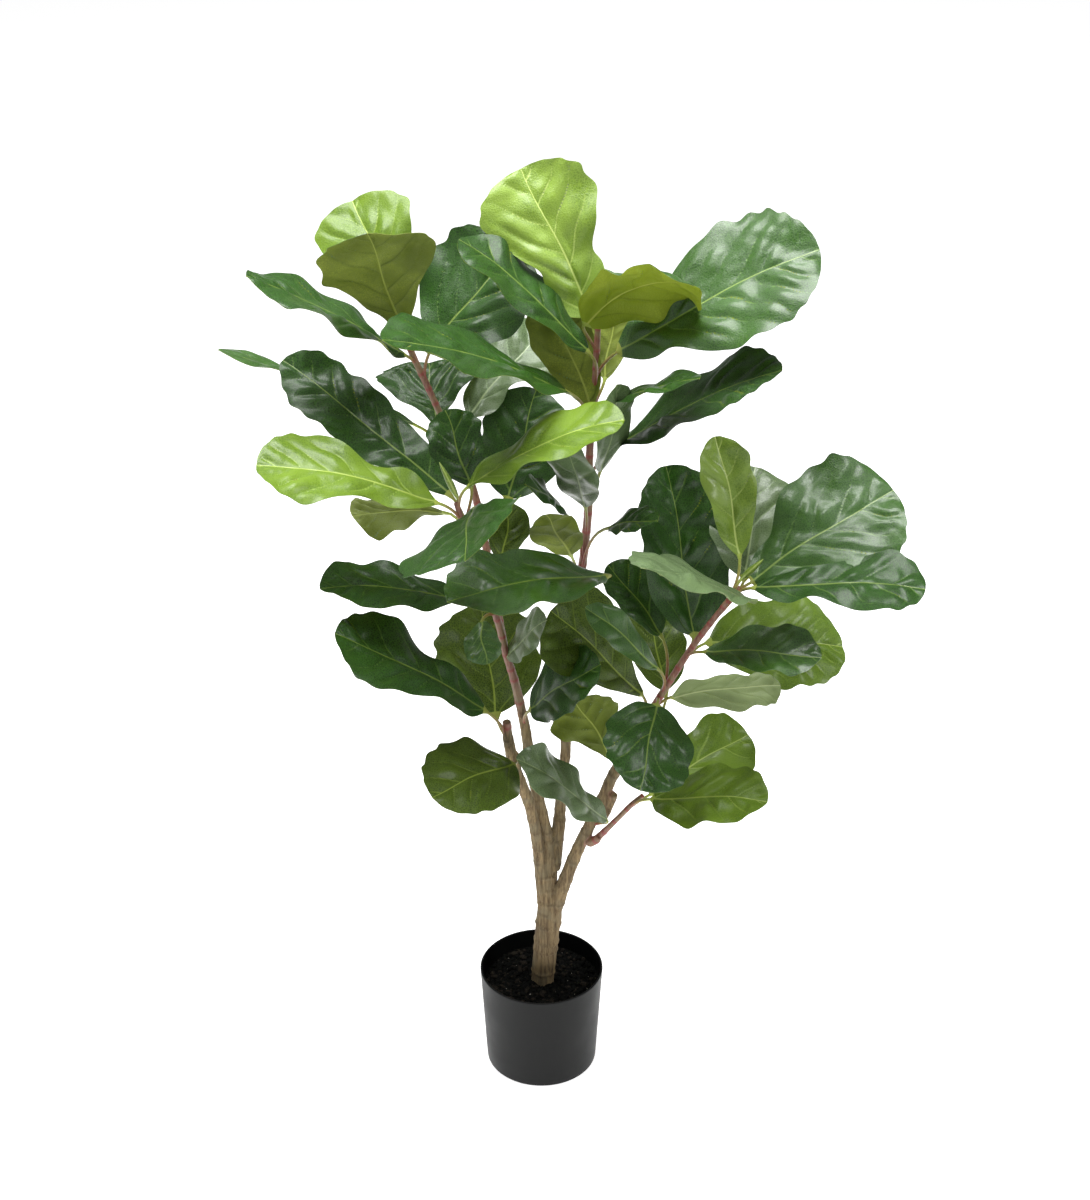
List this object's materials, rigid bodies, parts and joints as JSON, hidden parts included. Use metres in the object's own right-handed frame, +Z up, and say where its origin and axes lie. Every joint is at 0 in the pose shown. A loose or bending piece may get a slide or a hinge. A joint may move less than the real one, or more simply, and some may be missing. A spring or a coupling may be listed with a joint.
{
  "type": "potted fiddle leaf fig",
  "caption": "Potted fiddle leaf fig: a forked woody trunk with upright shoots and broad glossy veined leaves, standing in soil in a plain round plastic pot.",
  "frame": {"origin": "middle of the pot's foot, on the surface the pot stands on", "axes": "+Z up along the pot's axis, +X to the right of the plant's front, +Y away from its front"},
  "size_m": [0.7119, 0.4189, 1.0427],
  "materials": {
    "pot_plastic": "satin moulded",
    "soil": "loose, matt",
    "stem_bark": "rough bark, smooth red-brown shoots",
    "leaf_bright": "glossy young leaf",
    "leaf_fresh": "semi-gloss, light green leaf",
    "leaf_moss": "semi-gloss, moss green leaf",
    "leaf_lime": "matt, yellow-green underside",
    "leaf_mid": "semi-gloss leaf",
    "leaf_dark": "glossy mature leaf",
    "leaf_olive": "matt leaf underside",
    "leaf_pale": "greyish semi-gloss leaf"
  },
  "bodies": {
    "root": {"pot": "pot_plastic", "soil": "soil", "stems": "stem_bark", "leaf_left_bud": "leaf_bright", "leaf_right_bud": "leaf_bright", "leaf_upper_left_1": "leaf_fresh", "leaf_upper_left_2": "leaf_olive", "leaf_upper_left_3": "leaf_dark", "leaf_upper_left_4": "leaf_dark", "leaf_upper_left_5": "leaf_dark", "leaf_upper_left_6": "leaf_dark", "leaf_upper_left_7": "leaf_dark", "leaf_upper_left_8": "leaf_pale", "leaf_centre_1": "leaf_bright", "leaf_centre_2": "leaf_lime", "leaf_centre_3": "leaf_mid", "leaf_centre_4": "leaf_dark", "leaf_centre_5": "leaf_dark", "leaf_centre_6": "leaf_olive", "leaf_centre_7": "leaf_olive", "leaf_centre_8": "leaf_pale", "leaf_centre_9": "leaf_pale", "leaf_middle_1": "leaf_dark", "leaf_middle_2": "leaf_dark", "leaf_middle_3": "leaf_olive", "leaf_middle_4": "leaf_moss", "leaf_middle_5": "leaf_dark", "leaf_left_1": "leaf_fresh", "leaf_left_2": "leaf_fresh", "leaf_left_3": "leaf_dark", "leaf_left_4": "leaf_olive", "leaf_left_5": "leaf_dark", "leaf_left_6": "leaf_olive", "leaf_left_7": "leaf_dark", "leaf_lower_left_1": "leaf_dark", "leaf_lower_left_2": "leaf_mid", "leaf_lower_left_3": "leaf_dark", "leaf_lower_left_4": "leaf_moss", "leaf_lower_left_5": "leaf_mid", "leaf_lower_left_6": "leaf_pale", "leaf_lower_left_7": "leaf_dark", "leaf_middle_6": "leaf_olive", "leaf_middle_7": "leaf_moss", "leaf_middle_8": "leaf_mid", "leaf_middle_9": "leaf_dark", "leaf_middle_10": "leaf_moss", "leaf_right_1": "leaf_bright", "leaf_right_2": "leaf_dark", "leaf_right_3": "leaf_pale", "leaf_right_4": "leaf_pale", "leaf_right_5": "leaf_mid", "leaf_right_6": "leaf_dark", "leaf_lower_right_1": "leaf_fresh", "leaf_lower_right_2": "leaf_mid", "leaf_lower_right_3": "leaf_pale", "leaf_lower_right_4": "leaf_dark", "leaf_lower_right_5": "leaf_fresh", "leaf_lower_right_6": "leaf_fresh", "leaf_lower_right_7": "leaf_pale", "leaf_lower_left_8": "leaf_moss"}
  },
  "joints": []
}
